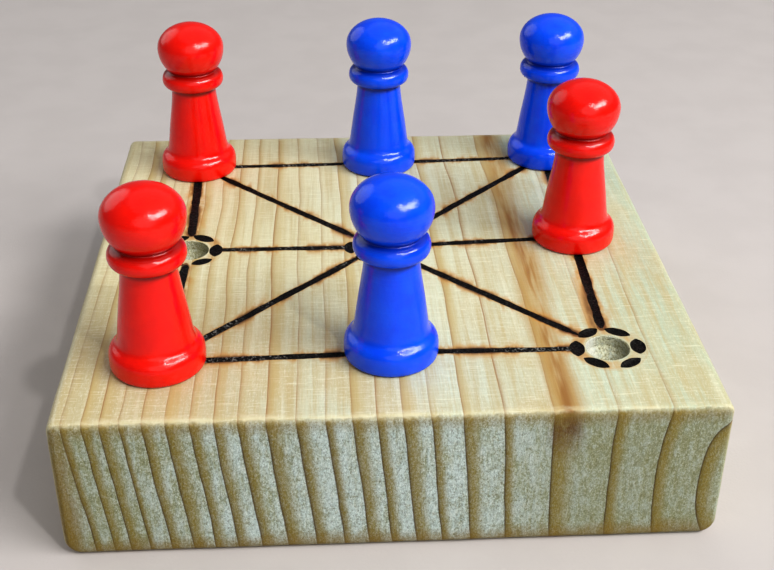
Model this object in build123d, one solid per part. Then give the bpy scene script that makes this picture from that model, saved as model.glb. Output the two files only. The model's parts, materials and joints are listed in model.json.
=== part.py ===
"""Three-in-a-row peg board: a square pine block with nine drilled sockets and six turned pegs.

Millimetres. +X is the player's right, +Y points away from the player and along the grain,
+Z is up. The origin is the middle of the block's underside.
"""
from build123d import *
from math import asin, cos, degrees, radians
import os

# --- Block -----------------------------------------------------------------------------
BOARD_SIDE = 140.0
BOARD_HEIGHT = 34.0
UPPER_EDGE_RADIUS = 1.9
LOWER_EDGE_RADIUS = 3.8
END_EDGE_RADIUS = 1.7

# --- Sockets: drilled shallow, straight wall first and then the drill's point -----------
SOCKET_RADIUS = 4.7
SOCKET_WALL = 2.4
SOCKET_POINT = 2.6

# The nine places were marked out by hand, so they wander up to 3 mm off an even grid.
SOCKETS = {
    "front_left": (-49.5, -48.0),
    "front_centre": (0.5, -46.5),
    "front_right": (48.0, -47.0),
    "middle_left": (-47.0, 1.5),
    "centre": (0.0, 1.0),
    "middle_right": (49.5, 4.0),
    "back_left": (-48.0, 49.5),
    "back_centre": (2.5, 50.5),
    "back_right": (50.0, 52.5),
}

# --- Pegs, turned in one piece. Heights are above the board's top face -------------------
STUB_RADIUS = SOCKET_RADIUS - 0.2
STUB_LENGTH = 2.6
STUB_CHAMFER = 0.9
FOOT_RADIUS = 10.3
FOOT_BOTTOM_ROUND = 1.1
FOOT_SHOULDER_START = 3.6
FOOT_SHOULDER_TOP = 6.1
STEM_FOOT_RADIUS = 8.4
STEM_BASE_HEIGHT = 7.0
STEM_BASE_RADIUS = 8.1
STEM_MIDDLE_HEIGHT = 15.0
STEM_MIDDLE_RADIUS = 6.95
NECK_HEIGHT = 24.7
NECK_RADIUS = 5.9
COLLAR_RADIUS = 8.2
COLLAR_HEIGHT = 27.0
GROOVE_HEIGHT = 29.5

# The head is round below its widest line and flattened to half an ellipse above it.
HEAD_RADIUS = 8.8
HEAD_WIDEST_HEIGHT = 35.6
HEAD_CROWN_RISE = 6.5
QUARTER_ELLIPSE_HANDLE = 0.5523
HEAD_CHEEK_ANGLE = degrees(asin((HEAD_WIDEST_HEIGHT - GROOVE_HEIGHT) / HEAD_RADIUS))
GROOVE_RADIUS = HEAD_RADIUS * cos(radians(HEAD_CHEEK_ANGLE))
PEG_HEIGHT = HEAD_WIDEST_HEIGHT + HEAD_CROWN_RISE

PEGS = {
    "red": ("front_left", "back_left", "middle_right"),
    "blue": ("front_centre", "back_centre", "back_right"),
}


def socket_cutter():
    """The space a drill leaves: a short cylinder with a cone below, its mouth at Z = 0."""
    wall = Cylinder(SOCKET_RADIUS, SOCKET_WALL, align=(Align.CENTER, Align.CENTER, Align.MAX))
    point = Cone(0, SOCKET_RADIUS, SOCKET_POINT, align=(Align.CENTER, Align.CENTER, Align.MAX))
    return wall + Pos(0, 0, -SOCKET_WALL) * point


def board():
    """The block, its edges sanded over, most of all along the lower sides, with nine sockets drilled."""
    block = Box(BOARD_SIDE, BOARD_SIDE, BOARD_HEIGHT, align=(Align.CENTER, Align.CENTER, Align.MIN))
    block = fillet(block.edges().filter_by(Axis.Y).group_by(Axis.Z)[-1], UPPER_EDGE_RADIUS)
    lower_edges = block.edges().filter_by(Axis.Y).group_by(Axis.Z)[0]
    block = fillet(lower_edges, LOWER_EDGE_RADIUS)
    end_faces = block.faces().filter_by(Axis.Y)
    block = fillet(end_faces.edges(), END_EDGE_RADIUS)
    for x, y in SOCKETS.values():
        block -= Pos(x, y, BOARD_HEIGHT) * socket_cutter()
    return block


def peg_outline():
    """Half of the peg's section in the XZ plane, closed along its axis."""
    tip = (0, -STUB_LENGTH)
    stub_end = (STUB_RADIUS - STUB_CHAMFER, -STUB_LENGTH)
    stub_side = (STUB_RADIUS, STUB_CHAMFER - STUB_LENGTH)
    stub_root = (STUB_RADIUS, 0)
    foot_edge = (FOOT_RADIUS - FOOT_BOTTOM_ROUND, 0)
    foot_side = (FOOT_RADIUS, FOOT_BOTTOM_ROUND)
    shoulder = (FOOT_RADIUS, FOOT_SHOULDER_START)
    shoulder_top = (STEM_FOOT_RADIUS, FOOT_SHOULDER_TOP)
    stem_base = (STEM_BASE_RADIUS, STEM_BASE_HEIGHT)
    stem_middle = (STEM_MIDDLE_RADIUS, STEM_MIDDLE_HEIGHT)
    neck = (NECK_RADIUS, NECK_HEIGHT)
    collar = (COLLAR_RADIUS, COLLAR_HEIGHT)
    groove = (GROOVE_RADIUS, GROOVE_HEIGHT)
    head_middle = (0, HEAD_WIDEST_HEIGHT)
    widest = (HEAD_RADIUS, HEAD_WIDEST_HEIGHT)
    widest_handle = (HEAD_RADIUS, HEAD_WIDEST_HEIGHT + QUARTER_ELLIPSE_HANDLE * HEAD_CROWN_RISE)
    crown_handle = (QUARTER_ELLIPSE_HANDLE * HEAD_RADIUS, PEG_HEIGHT)
    crown = (0, PEG_HEIGHT)

    with BuildSketch(Plane.XZ) as section:
        with BuildLine():
            Polyline(tip, stub_end, stub_side, stub_root, foot_edge)
            TangentArc(foot_edge, foot_side, tangent=(1, 0))
            Line(foot_side, shoulder)
            Spline(shoulder, shoulder_top, tangents=((0, 1), (-1, 0.35)))
            Spline(shoulder_top, stem_base, stem_middle, neck, tangents=((-1, 0.35), (-0.07, 1)))
            ThreePointArc(neck, collar, groove)
            CenterArc(head_middle, HEAD_RADIUS, -HEAD_CHEEK_ANGLE, HEAD_CHEEK_ANGLE)
            Bezier(widest, widest_handle, crown_handle, crown)
            Line(crown, tip)
        make_face()
    return section.sketch


def peg():
    """One peg, standing on Z = 0 with its stub below."""
    return revolve(peg_outline(), Axis.Z)


def write_part(shape, node):
    export_step(shape, "parts/" + node + ".step")


os.makedirs("parts", exist_ok=True)
write_part(board(), "board")
blank = peg()
for colour, places in PEGS.items():
    for place in places:
        x, y = SOCKETS[place]
        write_part(Pos(x, y, BOARD_HEIGHT) * blank, "peg_" + colour + "_" + place)
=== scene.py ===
"""Three-in-a-row peg board: a sanded pine block with burned lines, and six turned, enamelled pegs."""
import json
import math
import random

import bpy
from mathutils import Matrix, Vector


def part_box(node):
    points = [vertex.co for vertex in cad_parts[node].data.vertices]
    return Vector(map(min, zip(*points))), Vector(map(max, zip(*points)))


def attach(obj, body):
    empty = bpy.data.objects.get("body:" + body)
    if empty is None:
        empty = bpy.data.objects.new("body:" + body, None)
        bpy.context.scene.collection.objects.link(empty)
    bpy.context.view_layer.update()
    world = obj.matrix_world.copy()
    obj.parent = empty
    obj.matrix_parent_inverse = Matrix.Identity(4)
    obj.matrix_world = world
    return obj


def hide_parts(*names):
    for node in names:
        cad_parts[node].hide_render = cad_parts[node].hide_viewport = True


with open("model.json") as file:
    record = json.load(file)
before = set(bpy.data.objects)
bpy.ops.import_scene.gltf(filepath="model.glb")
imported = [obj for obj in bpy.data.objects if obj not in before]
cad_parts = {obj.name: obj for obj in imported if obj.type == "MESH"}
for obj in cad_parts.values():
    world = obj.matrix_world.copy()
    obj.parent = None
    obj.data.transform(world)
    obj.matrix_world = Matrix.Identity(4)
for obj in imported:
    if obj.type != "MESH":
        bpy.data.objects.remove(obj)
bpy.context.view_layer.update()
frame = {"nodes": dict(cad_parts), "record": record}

MM = 0.001
X, Y, Z = Vector((1, 0, 0)), Vector((0, 1, 0)), Vector((0, 0, 1))

# --- Places and sizes, from the frame -------------------------------------------------------------
BLOCK_LOW, BLOCK_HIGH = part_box("board")
BLOCK_MIDDLE = (BLOCK_LOW + BLOCK_HIGH) / 2
BLOCK_SIZE = BLOCK_HIGH - BLOCK_LOW
TOP = BLOCK_HIGH.z
PEG_NODES = sorted(name for name in frame["nodes"] if name.startswith("peg_"))


def place_name(node):
    """front_left for peg_red_front_left, and for socket_front_left."""
    return node.split("_", 2)[2] if node.startswith("peg_") else node.split("_", 1)[1]


def find_sockets():
    """Each socket's name and its middle on the board's top: under the pegs, and the empty ones."""
    sockets = {}
    for node in PEG_NODES:
        low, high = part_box(node)
        sockets[place_name(node)] = Vector(((low.x + high.x) / 2, (low.y + high.y) / 2, TOP))
    for mount in frame["record"]["mounts"]:
        if mount["kind"] == "bore":
            x, y = mount["pos_m"][:2]
            sockets[place_name(mount["name"])] = Vector((x, y, TOP))
    return sockets


SOCKETS = find_sockets()
EMPTY_BORE = next(mount for mount in frame["record"]["mounts"] if mount["kind"] == "bore")
SOCKET_RADIUS = EMPTY_BORE["dims"]["r_mm"] * MM
SOCKET_WALL = EMPTY_BORE["dims"]["length_mm"] * MM

# --- The block's edges ----------------------------------------------------------------------------
UPPER_EDGE_ROUND = 1.9 * MM
LOWER_EDGE_ROUND = 3.8 * MM
END_EDGE_ROUND = 1.7 * MM
ROUND_STEPS = 6
GRID_STEP = 5.0 * MM
SUPPORT_GAP = 0.6 * MM
SHARP_ANGLE = math.radians(32)
SANDING_WOBBLE = 0.28 * MM
SANDING_WOBBLE_SIZE = 14.0 * MM

# --- Drilled sockets ------------------------------------------------------------------------------
SOCKET_POINT = 2.6 * MM
SOCKET_LIP = 0.15 * MM
SOCKET_SIDES = 64
SOCKET_SPACING = 49.0 * MM

# --- Burned marks ---------------------------------------------------------------------------------
HAND_SEED = 7
LEAF_RING = 6.8 * MM
LEAF_LENGTH = 5.9 * MM
LEAF_WIDTH = 2.85 * MM
SIDE_LEAF_FATNESS = 1.14
LEAF_DEPTH = 0.55 * MM
LEAVES = 6
LINE_START_GAP = 6.4 * MM
ACROSS_WIDTH = 2.0 * MM
ALONG_WIDTH = 2.25 * MM
DIAGONAL_WIDTH = 2.05 * MM
LINE_DEPTH = 0.42 * MM
LINE_WOBBLE = 0.44 * MM
LINE_WOBBLE_SIZE = 3.2 * MM
LINE_RING_STEP = 1.1 * MM
# Where a line and a leaf narrow towards their ends, as shares of half their length, and by how
# much each time.
LINE_TAPER = ((0.78, 0.95), (0.88, 0.9), (0.94, 0.84), (0.98, 0.7))
LEAF_TAPER = ((0.6, 0.93), (0.75, 0.88), (0.9, 0.8))
# The wood that the iron browned beside the right-hand line, in millimetres: how far it lies from
# the line's middle, and where its browning starts and stops to fade.
HOT_SIDE_SHIFT = -0.8
HOT_SIDE_REACH = (0.6, 3.4)
# Grey flecks on the char, ash and painted glints: how many lie on the specked lines and elsewhere.
GREY_FLECKS_ON_SPECKED_LINES = 0.85
GREY_FLECKS_ELSEWHERE = 0.1
LINES = (
    ("front_left", "front_centre", ACROSS_WIDTH),
    ("front_centre", "front_right", ACROSS_WIDTH),
    ("middle_left", "centre", ACROSS_WIDTH),
    ("centre", "middle_right", ACROSS_WIDTH),
    ("back_left", "back_centre", ACROSS_WIDTH),
    ("back_centre", "back_right", ACROSS_WIDTH),
    ("front_left", "middle_left", ALONG_WIDTH),
    ("middle_left", "back_left", ALONG_WIDTH),
    ("front_centre", "centre", ALONG_WIDTH),
    ("centre", "back_centre", ALONG_WIDTH),
    ("front_right", "middle_right", ALONG_WIDTH),
    ("middle_right", "back_right", ALONG_WIDTH),
    ("front_left", "centre", DIAGONAL_WIDTH),
    ("centre", "back_right", DIAGONAL_WIDTH),
    ("back_left", "centre", DIAGONAL_WIDTH),
    ("centre", "front_right", DIAGONAL_WIDTH),
)

# --- The turned peg: radius and height above the board, in millimetres ----------------------------
PEG_STEPS = 72
STUB_OUTLINE = (
    (0.0, -2.6), (3.4, -2.6), (3.9, -2.4), (4.35, -2.0), (4.5, -1.6), (4.5, -0.25), (4.7, -0.05),
)
FOOT_OUTLINE = (
    (4.9, 0.0), (7.0, 0.0), (9.1, 0.0), (9.7, 0.15), (10.1, 0.5), (10.3, 1.1), (10.32, 2.3),
    (10.3, 3.5), (10.15, 4.4), (9.75, 5.2), (9.2, 5.75), (8.75, 6.1), (8.42, 6.55), (8.15, 7.3),
)
STEM_OUTLINE = (
    (7.92, 8.8), (7.7, 10.6), (7.42, 12.6), (7.1, 14.8), (6.75, 17.0), (6.4, 19.2), (6.12, 21.2),
    (5.95, 23.0), (5.88, 24.2), (6.0, 24.75),
)
COLLAR_OUTLINE = (
    (6.6, 24.85), (7.3, 25.1), (7.85, 25.6), (8.14, 26.3), (8.2, 27.0), (8.1, 27.8),
    (7.75, 28.5), (7.2, 29.0), (6.7, 29.25), (6.42, 29.45),
)
# Where painted shade darkens the grooves: the height of each groove's middle, and how far up and down it
# reaches.
SHADED_GROOVES = ((29.5, 1.7), (24.5, 1.3))
HEAD_MIDDLE = 35.6
HEAD_RADIUS = 8.8
HEAD_CROWN_RISE = 6.5
HEAD_STEPS_BELOW = 9
HEAD_STEPS_ABOVE = 12
HEAD_FIRST_ANGLE = -43.0


# --- Working in edit mode -------------------------------------------------------------------------
def deselect_all():
    bpy.ops.object.select_all(action="DESELECT")


def only(obj):
    """Makes obj the one selected and active object."""
    deselect_all()
    obj.select_set(True)
    bpy.context.view_layer.objects.active = obj
    return obj


def edit(obj, mode="VERT"):
    only(obj)
    bpy.ops.object.mode_set(mode="EDIT")
    bpy.ops.mesh.select_mode(type=mode)


def leave_edit():
    bpy.ops.object.mode_set(mode="OBJECT")


def pick(obj, wanted, kind="vertices"):
    """In edit mode, selects only the vertices, edges or faces for which wanted() is true."""
    bpy.ops.mesh.select_all(action="DESELECT")
    bpy.ops.object.mode_set(mode="OBJECT")
    for element in getattr(obj.data, kind):
        element.select = bool(wanted(element))
    bpy.ops.object.mode_set(mode="EDIT")


def edge_ends(obj, edge):
    return [obj.data.vertices[index].co for index in edge.vertices]


def put(obj, name):
    obj.name = name
    obj.data.name = name
    return obj


def settle(obj):
    """Bakes the object's place, turn and size into its mesh."""
    only(obj)
    bpy.ops.object.transform_apply(location=True, rotation=True, scale=True)
    return obj


def use(obj, kind, **settings):
    """Adds a modifier with these settings and applies it."""
    only(obj)
    modifier = obj.modifiers.new(kind.title(), kind)
    for key, value in settings.items():
        setattr(modifier, key, value)
    bpy.ops.object.modifier_apply(modifier=modifier.name)
    return obj


def clean(obj):
    """Merges doubled points and turns every face outwards."""
    edit(obj)
    bpy.ops.mesh.select_all(action="SELECT")
    bpy.ops.mesh.remove_doubles(threshold=1e-6)
    bpy.ops.mesh.normals_make_consistent(inside=False)
    leave_edit()
    return obj


def join(objects, name):
    deselect_all()
    for obj in objects:
        obj.select_set(True)
    bpy.context.view_layer.objects.active = objects[0]
    bpy.ops.object.join()
    return put(bpy.context.view_layer.objects.active, name)


def discard(obj):
    mesh = obj.data
    bpy.data.objects.remove(obj)
    bpy.data.meshes.remove(mesh)


def soft_noise(name, size):
    texture = bpy.data.textures.new(name, "CLOUDS")
    texture.noise_scale = size
    texture.noise_depth = 2
    return texture


# --- Shader recipes -------------------------------------------------------------------------------
class Finish:
    """A material under construction. Every method adds a node and gives back its output socket."""

    def __init__(self, name):
        self.material = bpy.data.materials.new(name)
        self.material.use_nodes = True
        self.tree = self.material.node_tree
        self.shader = self.tree.nodes["Principled BSDF"]
        place = self.tree.nodes.new("ShaderNodeTexCoord").outputs["Object"]
        self.place_mm = self.vector("SCALE", place, scale=1000.0)

    def _feed(self, socket, value):
        if isinstance(value, bpy.types.NodeSocket):
            self.tree.links.new(value, socket)
        elif value is not None:
            socket.default_value = value

    def math(self, operation, a, b=None, c=None, clamp=False):
        node = self.tree.nodes.new("ShaderNodeMath")
        node.operation = operation
        node.use_clamp = clamp
        for socket, value in zip(node.inputs, (a, b, c)):
            self._feed(socket, value)
        return node.outputs[0]

    def vector(self, operation, a, b=None, scale=None):
        node = self.tree.nodes.new("ShaderNodeVectorMath")
        gives_number = operation in ("DOT_PRODUCT", "DISTANCE")
        node.operation = operation
        self._feed(node.inputs[0], a)
        self._feed(node.inputs[1], b)
        if scale is not None:
            self._feed(node.inputs["Scale"], scale)
        return node.outputs["Value" if gives_number else "Vector"]

    def parts(self, vector):
        node = self.tree.nodes.new("ShaderNodeSeparateXYZ")
        self._feed(node.inputs[0], vector)
        return node.outputs

    def joined(self, x, y, z):
        node = self.tree.nodes.new("ShaderNodeCombineXYZ")
        for socket, value in zip(node.inputs, (x, y, z)):
            self._feed(socket, value)
        return node.outputs[0]

    def stretched(self, vector, stretch):
        """The pattern's coordinates, each multiplied by its own factor."""
        return self.vector("MULTIPLY", vector, stretch)

    def noise(self, vector, scale, detail=2.0, roughness=0.5, distortion=0.0):
        node = self.tree.nodes.new("ShaderNodeTexNoise")
        self._feed(node.inputs["Vector"], vector)
        node.inputs["Scale"].default_value = scale
        node.inputs["Detail"].default_value = detail
        node.inputs["Roughness"].default_value = roughness
        node.inputs["Distortion"].default_value = distortion
        return node.outputs["Fac"]

    def random_by(self, value):
        """A steady random number for each whole value."""
        node = self.tree.nodes.new("ShaderNodeTexWhiteNoise")
        node.noise_dimensions = "1D"
        self._feed(node.inputs["W"], value)
        return node.outputs["Value"]

    def ease(self, value, low, high, to_low=0.0, to_high=1.0):
        """Goes smoothly from to_low at low to to_high at high."""
        node = self.tree.nodes.new("ShaderNodeMapRange")
        node.interpolation_type = "SMOOTHSTEP"
        for socket, number in zip(node.inputs, (value, low, high, to_low, to_high)):
            self._feed(socket, number)
        return node.outputs[0]

    def curve(self, value, points):
        """A smooth curve through points, from 0 to 1 both ways."""
        node = self.tree.nodes.new("ShaderNodeFloatCurve")
        self._feed(node.inputs["Value"], value)
        line = node.mapping.curves[0]
        line.points[0].location = points[0]
        line.points[1].location = points[-1]
        for x, y in points[1:-1]:
            line.points.new(x, y)
        node.mapping.update()
        return node.outputs[0]

    def mix(self, amount, a, b):
        node = self.tree.nodes.new("ShaderNodeMix")
        node.data_type = "RGBA"
        self._feed(node.inputs["Factor"], amount)
        for socket, colour in ((node.inputs[6], a), (node.inputs[7], b)):
            self._feed(socket, colour if isinstance(colour, bpy.types.NodeSocket) else (*colour, 1.0))
        return node.outputs[2]

    def relief(self, height, depth_mm, after=None):
        """Raises the surface by height, 0 to 1, times depth_mm."""
        node = self.tree.nodes.new("ShaderNodeBump")
        node.inputs["Strength"].default_value = 1.0
        node.inputs["Distance"].default_value = depth_mm * MM
        self._feed(node.inputs["Height"], height)
        self._feed(node.inputs["Normal"], after)
        return node.outputs[0]

    def done(self, colour, roughness, normal, **fixed):
        self._feed(self.shader.inputs["Base Color"], colour)
        self._feed(self.shader.inputs["Roughness"], roughness)
        self._feed(self.shader.inputs["Normal"], normal)
        for name, value in fixed.items():
            self.shader.inputs[name.replace("_", " ")].default_value = value
        return self.material


def srgb(red, green, blue):
    """A colour given on a screen's scale, 0 to 255, as the renderer's linear colour."""
    def linear(part):
        part /= 255.0
        return part / 12.92 if part <= 0.04045 else ((part + 0.055) / 1.055) ** 2.4
    return linear(red), linear(green), linear(blue)


# --- Pine -----------------------------------------------------------------------------------------
# How many growth rings lie between the block's left side and each place, in millimetres, at mid
# height. The tree's middle is off to the right, where the rings are wide.
GROWTH = (
    (-76.0, -0.7), (-65.0, 1), (-57.5, 3), (-49.0, 5), (-39.6, 7), (-30.0, 9), (-12.3, 12), (3.4, 15),
    (15.3, 17), (32.9, 19), (45.1, 20), (55.1, 21), (64.3, 22), (78.0, 23),
)
FIRST_PLACE, FIRST_RING = GROWTH[0]
PLACE_SPAN = GROWTH[-1][0] - FIRST_PLACE
RING_SPAN = GROWTH[-1][1] - FIRST_RING
# The left rings lean, and the last ones at the right bow to the right round this height.
RING_LEAN = 0.11
BOW_HEIGHT = 14.0
BOW_PLACE = 66.0
BOW_FADE = 9.0
BOW_BEND = 0.014
NARROW_RING = 5.0
WIDE_RING = 10.8
# Where the orange-brown streak lies across the block.
STREAK_PLACE = 33.6


def ring_pattern(finish):
    """Where a point lies in its growth ring.

    Gives the distance in millimetres to the sharp ring line on its left, the distance left to the
    next one, and two random numbers of the ring's own.
    """
    x, y, z = finish.parts(finish.place_mm)
    height = finish.math("SUBTRACT", z, BLOCK_MIDDLE.z / MM)
    wander = finish.noise(finish.stretched(finish.place_mm, (0.014, 0.011, 0.02)), 1.0, 2.0, 0.45)
    wander_width = finish.ease(y, -75.0, 40.0, 1.0, 8.0)
    wander = finish.math("MULTIPLY", finish.math("SUBTRACT", wander, 0.5), wander_width)
    ripple = finish.noise(finish.stretched(finish.place_mm, (0.14, 0.05, 0.07)), 1.0, 2.0, 0.5)
    ripple = finish.math("MULTIPLY", finish.math("SUBTRACT", ripple, 0.5), 0.9)
    lean = finish.ease(x, -5.0, 50.0, RING_LEAN, 0.0)
    above_bow = finish.math("SUBTRACT", z, BOW_HEIGHT)
    bow = finish.math("EXPONENT", finish.math("DIVIDE", finish.math("SUBTRACT", x, BOW_PLACE), BOW_FADE))
    bow = finish.math("MULTIPLY", bow, BOW_BEND)
    bow = finish.math("MULTIPLY", bow, finish.math("MULTIPLY", above_bow, above_bow))
    across = finish.math("ADD", x, finish.math("MULTIPLY", lean, height))
    across = finish.math("SUBTRACT", across, bow)
    across = finish.math("ADD", across, finish.math("ADD", wander, ripple))
    share = finish.math("DIVIDE", finish.math("SUBTRACT", across, FIRST_PLACE), PLACE_SPAN)
    points = []
    for place, count in GROWTH:
        points.append(((place - FIRST_PLACE) / PLACE_SPAN, (count - FIRST_RING) / RING_SPAN))
    rings = finish.math("MULTIPLY", finish.curve(share, points), RING_SPAN)
    rings = finish.math("ADD", rings, FIRST_RING)
    ring = finish.math("FLOOR", rings)
    part = finish.math("FRACT", rings)
    spacing = finish.ease(x, -5.0, 42.0, NARROW_RING, WIDE_RING)
    behind = finish.math("MULTIPLY", part, spacing)
    ahead = finish.math("SUBTRACT", spacing, behind)
    return behind, ahead, finish.random_by(ring), finish.random_by(finish.math("ADD", ring, 40.0))


def smallest(finish, distances):
    least = distances[0]
    for distance in distances[1:]:
        least = finish.math("MINIMUM", least, distance)
    return least


def distance_to_line(finish, flat, start, end, width):
    """How far a point on the top lies from the edge of a burned line."""
    a = (SOCKETS[start] / MM).to_2d().to_3d()
    b = (SOCKETS[end] / MM).to_2d().to_3d()
    along = b - a
    from_a = finish.vector("SUBTRACT", flat, a)
    reached = finish.vector("DOT_PRODUCT", from_a, along)
    share = finish.math("DIVIDE", reached, along.length_squared, clamp=True)
    foot = finish.vector("SCALE", tuple(along), scale=share)
    return finish.math("SUBTRACT", finish.vector("DISTANCE", from_a, foot), width / MM / 2)


def distance_to_socket(finish, flat, middle):
    return finish.vector("DISTANCE", flat, (middle / MM).to_2d().to_3d())


def hot_side(finish, x, y, patchy):
    """How much a slow iron has browned the wood beside the right-hand line, 0 to 1."""
    front, behind = SOCKETS["front_right"] / MM, SOCKETS["middle_right"] / MM
    lean = (behind.x - front.x) / (behind.y - front.y)
    hot_line = finish.math("MULTIPLY", finish.math("SUBTRACT", y, front.y), lean)
    hot_line = finish.math("ADD", hot_line, front.x + HOT_SIDE_SHIFT)
    gap = finish.math("ABSOLUTE", finish.math("SUBTRACT", x, hot_line))
    hot = finish.ease(gap, *HOT_SIDE_REACH, 1.0, 0.0)
    hot = finish.math("MULTIPLY", hot, finish.ease(y, -8.0, -30.0))
    hot = finish.math("MULTIPLY", hot, finish.ease(y, -46.0, -39.0))
    return finish.math("MULTIPLY", hot, finish.ease(patchy, 0.3, 0.65, 0.45, 0.85))


def burn_scorch(finish):
    """How much the heat of the burned marks has browned the wood round them, 0 to 1."""
    x, y = finish.parts(finish.place_mm)[:2]
    flat = finish.joined(x, y, 0.0)
    to_line = smallest(finish, [distance_to_line(finish, flat, *line) for line in LINES])
    sockets = SOCKETS.values()
    to_socket = smallest(finish, [distance_to_socket(finish, flat, middle) for middle in sockets])
    patchy = finish.noise(finish.stretched(finish.place_mm, (0.25, 0.1, 0.25)), 1.0, 3.0, 0.6)

    reach = finish.ease(patchy, 0.4, 0.66, 0.3, 1.5)
    halo = finish.math("EXPONENT", finish.math("MULTIPLY", finish.math("DIVIDE", to_line, reach), -1.0))
    halo = finish.math("MULTIPLY", halo, finish.ease(patchy, 0.35, 0.62, 0.3, 0.9))
    halo = finish.math("MAXIMUM", halo, hot_side(finish, x, y, patchy))
    halo = finish.math("MULTIPLY", halo, finish.ease(to_socket, 6.0, 8.5), clamp=True)

    # Round each socket, the ring that its leaves lie on, and a fainter rim outside them.
    ring_gap = finish.math("ABSOLUTE", finish.math("SUBTRACT", to_socket, LEAF_RING / MM))
    ring = finish.ease(ring_gap, 0.8, 2.2, 1.0, 0.0)
    ring = finish.math("MULTIPLY", ring, finish.ease(patchy, 0.35, 0.65, 0.2, 0.55))
    rim_gap = finish.math("ABSOLUTE", finish.math("SUBTRACT", to_socket, 8.5))
    rim = finish.ease(rim_gap, 0.1, 0.5, 0.22, 0.0)
    return finish.math("MAXIMUM", halo, finish.math("MAXIMUM", ring, rim))


# Colours along the grain, on the top, the underside and the two long sides.
CREAM_LEFT = srgb(188, 178, 140)
CREAM_MIDDLE = srgb(200, 206, 182)
# Painted shade towards the right.
PAINTED_SHADE_RIGHT = srgb(174, 188, 164)
# Painted light towards the back.
PAINTED_LIGHT_BACK = srgb(222, 216, 178)
TAN_RING = srgb(186, 166, 118)
TAN_CLOUD = srgb(192, 172, 124)
TAN_FIBRE = srgb(182, 170, 124)
WHITE_PORE = srgb(228, 228, 206)
DARK_FIGURE = srgb(180, 160, 108)
LIGHT_FIGURE = srgb(222, 222, 196)
LIGHT_SCRATCH = srgb(232, 230, 204)
DARK_SCRATCH = srgb(164, 150, 104)
TAN_BAND = srgb(186, 164, 104)
BROWN_LINE = srgb(150, 104, 58)
GOLDEN_STREAK = srgb(166, 126, 60)
STREAK_CORE = srgb(136, 88, 34)
# Painted highlight on the sawn ends' upper edges.
EDGE_HIGHLIGHT = srgb(214, 206, 170)

# Colours across the grain, on the two sawn ends.
OLIVE_EARLYWOOD = srgb(154, 158, 116)
GREY_EARLYWOOD = srgb(196, 212, 206)
LIGHT_MOTTLE = srgb(212, 226, 222)
DARK_MOTTLE = srgb(132, 132, 86)
LIGHT_FUZZ = srgb(238, 244, 236)
DARK_FUZZ = srgb(100, 100, 66)
# Painted shade at the sides of the sawn ends.
SHADED_END_GRAIN = srgb(136, 136, 98)
OLIVE_BAND = srgb(140, 122, 44)
DARK_LINE = srgb(66, 42, 12)
STREAK_STAIN = srgb(96, 58, 14)
HANDLED_BORDER = srgb(138, 112, 44)

# Colours round the burned marks.
GOLDEN_SCORCH = srgb(184, 134, 62)
BROWN_SCORCH = srgb(92, 54, 20)


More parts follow.
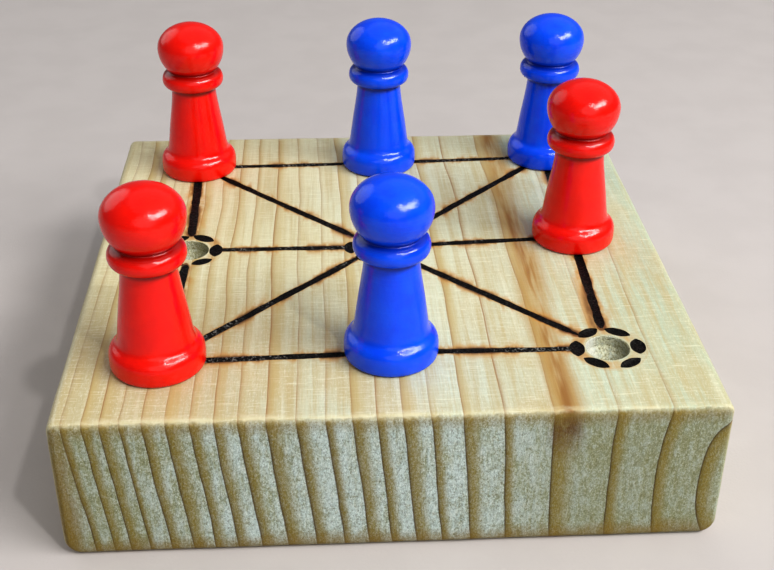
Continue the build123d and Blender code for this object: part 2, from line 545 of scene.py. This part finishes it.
class Pine(Finish):
    """Sanded pine: the rings run through the whole block, and its two sawn ends show end grain."""

    def __init__(self):
        super().__init__("sanded_pine")
        self.x, self.y, self.z = self.parts(self.place_mm)
        self.end_reach = self.math("ABSOLUTE", self.y)
        self.ragged = self.noise(self.place_mm, 0.9, 4.0, 0.7)
        self.fibre = self.noise(self.stretched(self.place_mm, (2.6, 0.11, 2.6)), 1.0, 4.0, 0.65)
        self.fuzz = self.noise(self.stretched(self.place_mm, (1.0, 0.5, 0.8)), 2.5, 4.0, 0.75, 0.6)
        self.comb = self.noise(self.stretched(self.place_mm, (0.9, 0.2, 0.14)), 1.0, 4.0, 0.7)
        self.draw_latewood()
        self.draw_streak()

    def draw_latewood(self):
        """A fine sharp line for each ring, and a band that fades away to its right."""
        behind, ahead, self.ring_luck, self.line_luck = ring_pattern(self)
        line = self.math("EXPONENT", self.math("MULTIPLY", behind, -2.8))
        self.line = self.math("MAXIMUM", line, self.ease(ahead, 0.0, 0.2, 0.8, 0.0))
        width = self.math("ADD", 1.6, self.math("MULTIPLY", self.ring_luck, 2.2))
        width = self.math("ADD", width, self.ease(self.x, 10.0, 40.0, 0.0, 1.3))
        self.through_band = self.math("DIVIDE", behind, width)
        self.band = self.ease(self.through_band, 0.1, 1.0, 1.0, 0.0)

    def draw_streak(self):
        """One orange-brown streak with a dark core, which wanders along the board."""
        drift = self.noise(self.stretched(self.place_mm, (0.0, 0.035, 0.0)), 1.0, 2.0)
        place = self.math("ADD", STREAK_PLACE, self.math("MULTIPLY", drift, 4.0))
        gap = self.math("ABSOLUTE", self.math("SUBTRACT", self.x, place))
        fade = self.noise(self.stretched(self.place_mm, (0.3, 0.025, 0.3)), 1.0, 3.0, 0.65)
        streak = self.ease(gap, 0.8, 5.4, 1.0, 0.0)
        self.streak = self.math("MULTIPLY", streak, self.ease(fade, 0.3, 0.56, 0.45, 1.0))
        core = self.ease(gap, 0.2, 2.0, 1.0, 0.0)
        self.streak_core = self.math("MULTIPLY", core, self.ease(fade, 0.42, 0.6))

    def end_cover(self):
        """Where end grain shows. Its border wanders a little over the rounded edge."""
        border = self.math("ADD", BLOCK_HIGH.y / MM - 1.0, self.math("MULTIPLY", self.ragged, 0.8))
        return self.ease(self.math("SUBTRACT", self.end_reach, border), -0.3, 0.5)

    def edge_highlight_and_burnish(self):
        """The sawn ends' upper edges, where the two grains meet: a pale painted highlight, and a little
        burnish.
        """
        highlight_and_burnish = self.math("SUBTRACT", self.end_reach, self.math("MULTIPLY", self.ragged, 2.6))
        highlight_and_burnish = self.ease(highlight_and_burnish, 65.6, 67.6)
        highlight_and_burnish = self.math("MULTIPLY", highlight_and_burnish, self.ease(self.z, TOP / MM - 2.0, TOP / MM - 0.9))
        edge_patches = self.noise(self.stretched(self.place_mm, (0.12, 0.3, 0.3)), 1.0, 3.0, 0.6)
        return self.math("MULTIPLY", highlight_and_burnish, self.ease(edge_patches, 0.38, 0.66, 0.0, 0.6))

    def long_grain(self):
        """Cream wood with tan clouds and bands, fine brown lines, sanding scratches and the streak;
        painted shade at the right and painted light at the back.
        """
        pores = self.noise(self.stretched(self.place_mm, (1.5, 0.45, 1.5)), 2.0, 4.0, 0.7)
        cloud = self.noise(self.stretched(self.place_mm, (0.06, 0.02, 0.06)), 1.0, 3.0, 0.6, 0.6)
        colour = self.mix(self.ease(self.x, -60.0, 5.0), CREAM_LEFT, CREAM_MIDDLE)
        # Painted shade: the wood is darker towards the right.
        colour = self.mix(self.ease(self.x, 15.0, 70.0), colour, PAINTED_SHADE_RIGHT)
        colour = self.mix(self.ease(self.line_luck, 0.3, 1.0, 0.0, 0.3), colour, TAN_RING)
        colour = self.mix(self.ease(cloud, 0.44, 0.68, 0.0, 0.55), colour, TAN_CLOUD)
        colour = self.mix(self.ease(self.fibre, 0.4, 0.68, 0.0, 0.5), colour, TAN_FIBRE)
        colour = self.mix(self.ease(pores, 0.5, 0.72, 0.0, 0.5), colour, WHITE_PORE)
        # Painted light: the wood is paler towards the back, most of all at the left.
        painted_light_back = self.ease(self.y, -55.0, 5.0, 0.0, 0.5)
        painted_light_back = self.math("MULTIPLY", painted_light_back, self.ease(self.x, -20.0, 45.0, 1.0, 0.15))
        colour = self.mix(painted_light_back, colour, PAINTED_LIGHT_BACK)
        figure = self.noise(self.stretched(self.place_mm, (0.45, 0.014, 0.32)), 1.0, 3.0, 0.6, 0.3)
        colour = self.mix(self.ease(figure, 0.46, 0.68, 0.0, 0.5), colour, DARK_FIGURE)
        colour = self.mix(self.ease(figure, 0.45, 0.3, 0.0, 0.35), colour, LIGHT_FIGURE)
        scratches = self.noise(self.stretched(self.place_mm, (0.22, 3.4, 3.4)), 1.0, 3.0, 0.6)
        colour = self.mix(self.ease(scratches, 0.54, 0.72, 0.0, 0.5), colour, LIGHT_SCRATCH)
        colour = self.mix(self.ease(scratches, 0.44, 0.3, 0.0, 0.3), colour, DARK_SCRATCH)
        band = self.math("MULTIPLY", self.band, self.ease(self.ring_luck, 0.1, 1.0, 0.08, 0.75))
        colour = self.mix(band, colour, TAN_BAND)
        line = self.math("MULTIPLY", self.line, self.ease(self.line_luck, 0.0, 1.0, 0.35, 0.95))
        line = self.math("MULTIPLY", line, self.ease(self.fibre, 0.25, 0.55, 0.6, 1.0))
        colour = self.mix(line, colour, BROWN_LINE)
        colour = self.mix(self.math("MULTIPLY", self.streak, 0.85), colour, GOLDEN_STREAK)
        return self.mix(self.math("MULTIPLY", self.streak_core, 0.75), colour, STREAK_CORE)

    def end_grain(self):
        """Grey-white fuzzy earlywood in patches, olive-brown latewood, handled borders, and painted
        shade towards both sides.
        """
        mottle = self.noise(self.stretched(self.place_mm, (1.0, 0.5, 0.7)), 0.7, 4.0, 0.6)
        blotch = self.noise(self.stretched(self.place_mm, (0.13, 0.02, 0.08)), 1.0, 4.0, 0.65)
        half_comb = self.math("MULTIPLY", self.comb, 0.5)
        fresh = self.math("ADD", half_comb, self.math("MULTIPLY", blotch, 0.5))
        from_palest = self.math("ABSOLUTE", self.math("ADD", self.x, 6.0))
        fresh = self.math("ADD", fresh, self.ease(from_palest, 8.0, 60.0, 0.06, -0.05))
        colour = self.mix(self.ease(fresh, 0.36, 0.62), OLIVE_EARLYWOOD, GREY_EARLYWOOD)
        colour = self.mix(self.ease(mottle, 0.5, 0.7, 0.0, 0.5), colour, LIGHT_MOTTLE)
        colour = self.mix(self.ease(mottle, 0.48, 0.32, 0.0, 0.5), colour, DARK_MOTTLE)
        colour = self.mix(self.ease(self.fuzz, 0.5, 0.62, 0.0, 0.55), colour, LIGHT_FUZZ)
        colour = self.mix(self.ease(self.fuzz, 0.49, 0.37, 0.0, 0.55), colour, DARK_FUZZ)
        # Painted shade: the end grain darkens towards its right and left sides.
        end_shade_right = self.ease(self.x, 12.0, 45.0, 0.0, 0.45)
        end_shade_left = self.ease(self.x, -35.0, -62.0, 0.0, 0.3)
        colour = self.mix(self.math("MAXIMUM", end_shade_right, end_shade_left), colour, SHADED_END_GRAIN)
        olive = self.ease(self.through_band, 0.3, 1.15, 0.95, 0.0)
        olive = self.math("MULTIPLY", olive, self.ease(self.fuzz, 0.35, 0.7, 1.0, 0.7))
        colour = self.mix(olive, colour, OLIVE_BAND)
        colour = self.mix(self.math("MULTIPLY", self.line, 0.92), colour, DARK_LINE)
        stain = self.math("MULTIPLY", self.streak, self.ease(self.z, 20.0, 31.0))
        colour = self.mix(self.math("MULTIPLY", stain, 0.85), colour, STREAK_STAIN)
        border = self.math("MULTIPLY", self.handled(blotch), self.ease(self.fuzz, 0.3, 0.7, 1.0, 0.7))
        return self.mix(border, colour, HANDLED_BORDER)

    def handled(self, blotch):
        """The ends' darkened borders: a thin one at the top, wider ones below and at the left."""
        wide = self.math("MULTIPLY", blotch, 7.0)
        lowered = self.math("ADD", self.z, self.math("MULTIPLY", blotch, -4.0))
        high = self.ease(lowered, 27.5, 31.5, 0.0, 0.6)
        low = self.ease(self.math("ADD", self.z, wide), 4.5, 9.0, 0.8, 0.0)
        left = self.ease(self.math("SUBTRACT", self.x, wide), -72.5, -67.0, 0.85, 0.0)
        return self.math("MAXIMUM", high, self.math("MAXIMUM", low, left))

    def scorched(self, colour):
        """Browns the top round the burned marks."""
        on_top = self.ease(self.z, TOP / MM - 1.2, TOP / MM - 0.6)
        scorch = self.math("MULTIPLY", burn_scorch(self), on_top)
        colour = self.mix(self.ease(scorch, 0.0, 0.6, 0.0, 0.75), colour, GOLDEN_SCORCH)
        return self.mix(self.ease(scorch, 0.4, 0.95, 0.0, 0.9), colour, BROWN_SCORCH)


def pine_finish():
    pine = Pine()
    end = pine.end_cover()
    highlight_and_burnish = pine.edge_highlight_and_burnish()
    # Painted highlight on the ends' upper edges; the same mask lowers their roughness below, as burnish.
    face = pine.mix(highlight_and_burnish, pine.long_grain(), EDGE_HIGHLIGHT)
    colour = pine.scorched(pine.mix(end, face, pine.end_grain()))

    roughness = pine.ease(end, 0.0, 1.0, 0.5, 0.88)
    roughness = pine.math("ADD", roughness, pine.ease(pine.fibre, 0.3, 0.7, -0.08, 0.08))
    roughness = pine.math("SUBTRACT", roughness, pine.math("MULTIPLY", highlight_and_burnish, 0.12))
    sunk = pine.math("MULTIPLY", pine.line, -0.5)
    raised = pine.math("MULTIPLY", pine.band, 0.35)
    raised = pine.math("ADD", raised, pine.math("MULTIPLY", pine.fibre, 0.5))
    normal = pine.relief(pine.math("ADD", raised, sunk), 0.1)
    tufts = pine.math("MULTIPLY", pine.math("ADD", pine.fuzz, pine.comb), end)
    normal = pine.relief(tufts, 0.5, normal)
    return pine.done(colour, roughness, normal, Specular_IOR_Level=0.4)


def char_finish(name, fleck_cover):
    """Charcoal, with grey flecks on some stretches of it: ash, and painted glints."""
    finish = Finish(name)
    crust = finish.noise(finish.place_mm, 1.3, 5.0, 0.7, 0.4)
    flakes = finish.noise(finish.place_mm, 1.7, 4.0, 0.7)
    stretch_noise = finish.noise(finish.place_mm, 0.13, 2.0, 0.5)
    colour = finish.mix(finish.ease(crust, 0.4, 0.7), srgb(4, 3, 2), srgb(18, 12, 9))
    # Grey flecks: ash, and painted glints on the char.
    flecked_stretches = finish.ease(stretch_noise, 0.42, 0.58, 0.0, fleck_cover)
    ash_and_glints = finish.math("MULTIPLY", finish.ease(flakes, 0.52, 0.62), flecked_stretches)
    colour = finish.mix(ash_and_glints, colour, srgb(128, 126, 120))
    roughness = finish.ease(crust, 0.35, 0.65, 0.75, 0.4)
    normal = finish.relief(finish.math("ADD", crust, flakes), 0.3)
    return finish.done(colour, roughness, normal, Specular_IOR_Level=0.16)


def raw_finish():
    finish = Finish("freshly_drilled_pine")
    x = finish.parts(finish.place_mm)[0]
    fibres = finish.noise(finish.stretched(finish.place_mm, (1.2, 0.5, 1.2)), 2.4, 4.0, 0.7, 0.5)
    tufts = finish.noise(finish.place_mm, 1.1, 4.0, 0.65)
    colour = finish.mix(finish.ease(fibres, 0.36, 0.6), srgb(150, 144, 94), srgb(236, 236, 208))
    colour = finish.mix(finish.ease(tufts, 0.5, 0.66, 0.0, 0.6), colour, srgb(206, 216, 204))
    # Painted highlight on each socket's left wall and painted shade on its right wall, as light from the
    # right falls.
    half_way = SOCKET_SPACING / MM / 2
    across_socket = finish.math("WRAP", x, half_way, -half_way)
    colour = finish.mix(finish.ease(across_socket, 0.3, 4.2, 0.0, 0.5), colour, srgb(146, 138, 86))
    colour = finish.mix(finish.ease(across_socket, -1.5, -4.2, 0.0, 0.6), colour, srgb(255, 255, 246))
    normal = finish.relief(finish.math("ADD", fibres, tufts), 0.9)
    return finish.done(colour, 0.85, normal, Specular_IOR_Level=0.3)


# Each enamel's colour, its colours where it is deep and thin, and its painted shade in the grooves.
RED_SHADES = srgb(234, 20, 1), srgb(222, 10, 1), srgb(238, 44, 8), srgb(96, 2, 0)
BLUE_SHADES = srgb(1, 82, 238), srgb(0, 68, 230), srgb(14, 106, 246), srgb(0, 18, 112)


def enamel_finish(name, body_colour, deep_colour, thin_colour, groove_shade_colour):
    """Glossy enamel over turned wood: lathe rings telegraph through, and painted shade darkens the
    grooves.
    """
    finish = Finish(name)
    z = finish.parts(finish.place_mm)[2]
    lathe = finish.noise(finish.joined(0.0, 0.0, z), 2.2, 4.0, 0.65)
    flow = finish.noise(finish.place_mm, 0.22, 3.0, 0.5, 0.4)
    peel = finish.noise(finish.place_mm, 1.6, 2.0, 0.5)
    colour = finish.mix(finish.ease(flow, 0.2, 0.8), deep_colour, body_colour)
    colour = finish.mix(finish.ease(lathe, 0.5, 0.74, 0.0, 0.25), colour, thin_colour)
    above_board = finish.math("SUBTRACT", z, TOP / MM)
    # Painted shade under the head and under the collar.
    for groove_height, reach in SHADED_GROOVES:
        gap = finish.math("ABSOLUTE", finish.math("SUBTRACT", above_board, groove_height))
        groove_shade = finish.ease(gap, 0.1, reach, 0.75, 0.0)
        colour = finish.mix(groove_shade, colour, groove_shade_colour)
    roughness = finish.ease(flow, 0.3, 0.7, 0.15, 0.21)
    normal = finish.relief(lathe, 0.03)
    normal = finish.relief(peel, 0.04, normal)
    return finish.done(colour, roughness, normal, Specular_IOR_Level=0.42)


def bare_stub_finish():
    finish = Finish("bare_beech_stub")
    rings = finish.noise(finish.stretched(finish.place_mm, (2.0, 0.5, 0.3)), 1.0, 4.0, 0.6)
    colour = finish.mix(finish.ease(rings, 0.3, 0.7), srgb(196, 160, 112), srgb(224, 196, 150))
    return finish.done(colour, 0.7, finish.relief(rings, 0.12))


# --- The board ------------------------------------------------------------------------------------
def round_edges(block):
    """Rounds the lower long edges well over and the others less, as sanding leaves them."""
    end_reach = BLOCK_SIZE.y / 2 - MM

    def is_upper(edge):
        a, b = edge_ends(block, edge)
        return abs(a.y - b.y) > BLOCK_SIZE.y / 2 and a.z > BLOCK_MIDDLE.z

    def is_lower(edge):
        a, b = edge_ends(block, edge)
        return abs(a.y - b.y) > BLOCK_SIZE.y / 2 and a.z < BLOCK_MIDDLE.z

    def is_end(edge):
        a, b = edge_ends(block, edge)
        both_far = min(abs(a.y - BLOCK_MIDDLE.y), abs(b.y - BLOCK_MIDDLE.y)) > end_reach
        return both_far and abs(a.y - b.y) < MM

    edit(block, "EDGE")
    rounds = ((is_upper, UPPER_EDGE_ROUND), (is_lower, LOWER_EDGE_ROUND), (is_end, END_EDGE_ROUND))
    for wanted, radius in rounds:
        pick(block, wanted, "edges")
        bpy.ops.mesh.bevel(offset=radius, segments=ROUND_STEPS, affect="EDGES")
    leave_edit()


def cut_across(block, axis, places):
    """Cuts the whole mesh with flat planes, so that its faces are small enough to shape."""
    edit(block)
    for place in places:
        bpy.ops.mesh.select_all(action="SELECT")
        bpy.ops.mesh.bisect(plane_co=axis * place, plane_no=axis)
    leave_edit()


def steps_between(low, high, inset):
    """Evenly spaced places between two ends, the first and the last just inside their rounding."""
    count = max(2, round((high - low) / GRID_STEP))
    span = high - low - 2 * inset
    return [low + inset + span * index / count for index in range(count + 1)]


def make_block():
    bpy.ops.mesh.primitive_cube_add(size=1.0, location=BLOCK_MIDDLE)
    block = put(bpy.context.active_object, "pine_block")
    block.scale = BLOCK_SIZE
    settle(block)
    round_edges(block)
    cut_across(block, X, steps_between(BLOCK_LOW.x, BLOCK_HIGH.x, LOWER_EDGE_ROUND + SUPPORT_GAP))
    cut_across(block, Y, steps_between(BLOCK_LOW.y, BLOCK_HIGH.y, END_EDGE_ROUND + SUPPORT_GAP))
    cut_across(block, Z, steps_between(BLOCK_LOW.z, BLOCK_HIGH.z, LOWER_EDGE_ROUND + SUPPORT_GAP))
    use(
        block, "DISPLACE", texture=soft_noise("sanding_wobble", SANDING_WOBBLE_SIZE),
        strength=SANDING_WOBBLE, mid_level=0.5,
    )
    return block


def make_socket_drill():
    """The shape of the drill that cut a socket, standing at the origin with its point down."""
    bpy.ops.mesh.primitive_cylinder_add(
        vertices=SOCKET_SIDES, radius=SOCKET_RADIUS, depth=SOCKET_WALL, location=-Z * SOCKET_WALL / 2
    )
    drill = settle(bpy.context.active_object)
    edit(drill, "FACE")
    pick(drill, lambda face: face.normal.z < -0.9, "polygons")
    bpy.ops.mesh.extrude_region_move(TRANSFORM_OT_translate={"value": -Z * SOCKET_POINT})
    bpy.ops.transform.resize(value=(0.02, 0.02, 1.0))
    pick(drill, lambda face: face.normal.z > 0.9, "polygons")
    bpy.ops.transform.translate(value=-Z * SOCKET_LIP)
    bpy.ops.mesh.extrude_region_move(TRANSFORM_OT_translate={"value": Z * SOCKET_LIP})
    flare = 1.0 + SOCKET_LIP / SOCKET_RADIUS
    bpy.ops.transform.resize(value=(flare, flare, 1.0))
    bpy.ops.mesh.extrude_region_move(TRANSFORM_OT_translate={"value": Z * SOCKET_WALL})
    leave_edit()
    return drill


def make_leaf_iron():
    """The hot iron's leaf shape, lying along X with its belly down, centred on the wood's surface."""
    bpy.ops.mesh.primitive_uv_sphere_add(segments=28, ring_count=14, radius=1.0)
    leaf = bpy.context.active_object
    leaf.rotation_euler = (0.0, math.radians(90), 0.0)
    settle(leaf)
    leaf.scale = (LEAF_LENGTH / 2, LEAF_WIDTH / 2, LEAF_DEPTH)
    settle(leaf)
    edit(leaf)
    for reach, pinch in LEAF_TAPER:
        pick(leaf, lambda point: abs(point.co.x) > reach * LEAF_LENGTH / 2)
        bpy.ops.transform.resize(value=(1.0, pinch, 1.0))
    leave_edit()
    return leaf


def make_line_iron(start, end, width, luck):
    """The groove that a hot point draws from one socket's leaves to the next one's."""
    a, b = SOCKETS[start], SOCKETS[end]
    along = (b - a).normalized()
    a, b = a + along * LINE_START_GAP, b - along * LINE_START_GAP
    length = (b - a).length
    radius = (width * width / 4 + LINE_DEPTH * LINE_DEPTH) / (2 * LINE_DEPTH)
    bpy.ops.mesh.primitive_cylinder_add(vertices=14, radius=radius, depth=length)
    iron = bpy.context.active_object
    iron.rotation_euler = (0.0, math.radians(90), 0.0)
    settle(iron)
    rings = max(16, round(length / LINE_RING_STEP))
    cut_across(iron, X, [length * (index / rings - 0.5) for index in range(1, rings)])
    use(
        iron, "DISPLACE", texture=soft_noise("hand_wobble", LINE_WOBBLE_SIZE), texture_coords="LOCAL",
        strength=LINE_WOBBLE * luck.uniform(0.8, 1.2), mid_level=0.5,
    )
    edit(iron)
    for reach, pinch in LINE_TAPER:
        pick(iron, lambda point: abs(point.co.x) > reach * length / 2)
        bpy.ops.transform.resize(value=(1.0, pinch, pinch), center_override=(0.0, 0.0, 0.0))
    leave_edit()
    iron.location = (a + b) / 2 + Z * (radius - LINE_DEPTH)
    iron.rotation_euler = (0.0, 0.0, math.atan2(along.y, along.x))
    return settle(iron)


def copies_at(pattern, placings):
    """One joined set of copies of pattern, each turned about Z, moved to its place and resized."""
    copies = []
    for turn, place, size in placings:
        copy = pattern.copy()
        copy.data = pattern.data.copy()
        bpy.context.scene.collection.objects.link(copy)
        copy.scale = size
        copy.rotation_euler = (0.0, 0.0, turn)
        copy.location = place
        copies.append(settle(copy))
    discard(pattern)
    return join(copies, "cutters")


def leaf_places(luck):
    """Each leaf's turn, place and size, a little uneven, as a hand-held iron leaves them."""
    for middle in SOCKETS.values():
        for index in range(LEAVES):
            turn = 2 * math.pi * (index + luck.uniform(-0.06, 0.06)) / LEAVES
            ring = LEAF_RING + luck.uniform(-0.25, 0.25) * MM
            arm = Vector((math.cos(turn), math.sin(turn), 0.0)) * ring
            fatness = SIDE_LEAF_FATNESS if index % (LEAVES // 2) == 0 else 1.0
            size = (luck.uniform(0.92, 1.06), fatness * luck.uniform(0.9, 1.1), 1.0)
            yield turn + math.pi / 2 + luck.uniform(-0.12, 0.12), middle + arm, size


def carve(block, cutters):
    """Cuts the cutters out of the block; the cut faces take the cutters' own finishes."""
    use(
        block, "BOOLEAN", object=cutters, operation="DIFFERENCE", solver="MANIFOLD",
        material_mode="TRANSFER",
    )
    discard(cutters)


def make_board():
    luck = random.Random(HAND_SEED)
    block = make_block()
    block.data.materials.append(pine_finish())
    specked_char = char_finish("ashy_char", GREY_FLECKS_ON_SPECKED_LINES)
    black = char_finish("black_char", GREY_FLECKS_ELSEWHERE)
    lines = []
    for start, end, width in LINES:
        line = make_line_iron(start, end, width, luck)
        is_specked = width == ACROSS_WIDTH or start == "front_left"
        line.data.materials.append(specked_char if is_specked else black)
        lines.append(line)
    carve(block, join(lines, "line_irons"))
    leaf = make_leaf_iron()
    leaf.data.materials.append(black)
    carve(block, copies_at(leaf, leaf_places(luck)))
    drill = make_socket_drill()
    drill.data.materials.append(raw_finish())
    placings = [(0.0, middle, (1.0, 1.0, 1.0)) for middle in SOCKETS.values()]
    carve(block, copies_at(drill, placings))
    clean(block)
    only(block)
    bpy.ops.object.shade_smooth_by_angle(angle=SHARP_ANGLE)
    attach(block, "board")
    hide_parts("board")


# --- The pegs -------------------------------------------------------------------------------------
def head_outline():
    """The head's side: a round cheek below its widest line and half an ellipse above."""
    points = []
    for index in range(HEAD_STEPS_BELOW):
        angle = math.radians(HEAD_FIRST_ANGLE * (1 - index / HEAD_STEPS_BELOW))
        points.append((HEAD_RADIUS * math.cos(angle), HEAD_MIDDLE + HEAD_RADIUS * math.sin(angle)))
    for index in range(HEAD_STEPS_ABOVE + 1):
        angle = math.radians(90 * index / HEAD_STEPS_ABOVE)
        points.append((HEAD_RADIUS * math.cos(angle), HEAD_MIDDLE + HEAD_CROWN_RISE * math.sin(angle)))
    return points


def turn_blank(outline, name):
    """Draws half the outline point by point, spins it on the lathe's axis and closes it."""
    bpy.ops.mesh.primitive_plane_add(size=MM)
    blank = put(bpy.context.active_object, name)
    edit(blank)
    bpy.ops.mesh.select_all(action="SELECT")
    bpy.ops.mesh.merge(type="CENTER")
    radius, height = outline[0]
    bpy.ops.transform.translate(value=(radius * MM, 0.0, height * MM))
    for next_radius, next_height in outline[1:]:
        step = ((next_radius - radius) * MM, 0.0, (next_height - height) * MM)
        bpy.ops.mesh.extrude_region_move(TRANSFORM_OT_translate={"value": step})
        radius, height = next_radius, next_height
    bpy.ops.mesh.select_all(action="SELECT")
    bpy.ops.mesh.spin(steps=PEG_STEPS, angle=2 * math.pi, center=(0.0, 0.0, 0.0), axis=(0.0, 0.0, 1.0))
    leave_edit()
    return clean(blank)


def make_peg(node, enamel, stub):
    outline = STUB_OUTLINE + FOOT_OUTLINE + STEM_OUTLINE + COLLAR_OUTLINE + tuple(head_outline())
    peg = turn_blank(outline, "turned_" + node)
    peg.data.materials.append(enamel)
    peg.data.materials.append(stub)
    edit(peg, "FACE")
    pick(peg, lambda face: face.center.z < -0.1 * MM, "polygons")
    peg.active_material_index = 1
    bpy.ops.object.material_slot_assign()
    leave_edit()
    peg.location = SOCKETS[place_name(node)]
    settle(peg)
    use(peg, "SUBSURF", levels=1, render_levels=1)
    bpy.ops.object.shade_smooth()
    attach(peg, node)
    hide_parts(node)
    "red_enamel" if "_red_" in node else "blue_enamel"


def make_pegs():
    enamels = {
        "red": enamel_finish("red_enamel", *RED_SHADES),
        "blue": enamel_finish("blue_enamel", *BLUE_SHADES),
    }
    stub = bare_stub_finish()
    for node in PEG_NODES:
        make_peg(node, enamels[node.split("_")[1]], stub)


# --- Table, light and camera ----------------------------------------------------------------------
FLOOR_SIDE = 16.0
FLOOR_GAP = 0.15 * MM
# Each light's name, place, target, width and height in metres, and power in watts.
LIGHTS = (
    ("window", (0.7, -0.42, 0.8), (0.0, 0.0, 0.03), 0.95, 0.24, 11.2),
    ("lamp", (0.27, -0.5, 0.76), (0.0, 0.0, 0.03), 0.04, 0.04, 1.5),
    ("sky", (0.6, 0.3, 1.6), (0.0, 0.0, 0.0), 3.6, 3.6, 9.5),
    ("room", (0.4, -2.0, 1.2), (0.0, 0.0, 0.0), 2.4, 2.0, 10.0),
    ("fill", (-1.1, 0.9, 0.8), (0.0, 0.0, 0.02), 1.3, 1.3, 4.5),
)
AIR_COLOUR = (0.9, 0.94, 1.0, 1.0)
AIR_STRENGTH = 0.16
CAMERA_PLACE = Vector((-13.2, -269.6, 183.5)) * MM
CAMERA_YAW = 0.057
CAMERA_PITCH = 0.535
CAMERA_ROLL = 0.005
CAMERA_LENS = 57.42
CAMERA_SENSOR = 36.0


def make_table():
    bpy.ops.mesh.primitive_plane_add(size=FLOOR_SIDE, location=(0.0, 0.0, BLOCK_LOW.z - FLOOR_GAP))
    table = put(bpy.context.active_object, "table")
    settle(table)
    finish = Finish("pale_table")
    mottle = finish.noise(finish.place_mm, 0.05, 3.0, 0.5)
    tooth = finish.noise(finish.place_mm, 1.5, 2.0, 0.5)
    colour = finish.mix(finish.ease(mottle, 0.35, 0.65), srgb(186, 179, 175), srgb(189, 182, 178))
    table.data.materials.append(finish.done(colour, 0.8, finish.relief(tooth, 0.04)))


def area_light(name, place, target, width, height, power):
    light = bpy.data.lights.new(name, "AREA")
    light.shape = "ELLIPSE"
    light.size = width
    light.size_y = height
    light.energy = power
    lamp = bpy.data.objects.new(name, light)
    bpy.context.scene.collection.objects.link(lamp)
    lamp.location = place
    lamp.rotation_euler = (Vector(target) - Vector(place)).to_track_quat("-Z", "Y").to_euler()


def make_lights():
    for light in LIGHTS:
        area_light(*light)
    world = bpy.data.worlds.new("studio")
    world.use_nodes = True
    background = world.node_tree.nodes["Background"]
    background.inputs["Color"].default_value = AIR_COLOUR
    background.inputs["Strength"].default_value = AIR_STRENGTH
    bpy.context.scene.world = world
    bpy.context.scene.view_settings.view_transform = "Standard"
    bpy.context.scene.view_settings.look = "Medium High Contrast"


def make_camera():
    camera = bpy.data.cameras.new("camera")
    camera.lens = CAMERA_LENS
    camera.sensor_width = CAMERA_SENSOR
    camera.sensor_fit = "HORIZONTAL"
    camera.clip_start = 0.01
    holder = bpy.data.objects.new("camera", camera)
    bpy.context.scene.collection.objects.link(holder)
    turn = Matrix.Rotation(-CAMERA_YAW, 4, "Z")
    tilt = Matrix.Rotation(math.radians(90) - CAMERA_PITCH, 4, "X")
    roll = Matrix.Rotation(CAMERA_ROLL, 4, "Z")
    holder.matrix_world = Matrix.Translation(CAMERA_PLACE) @ turn @ tilt @ roll
    bpy.context.scene.camera = holder


make_board()
make_pegs()
make_table()
make_lights()
make_camera()
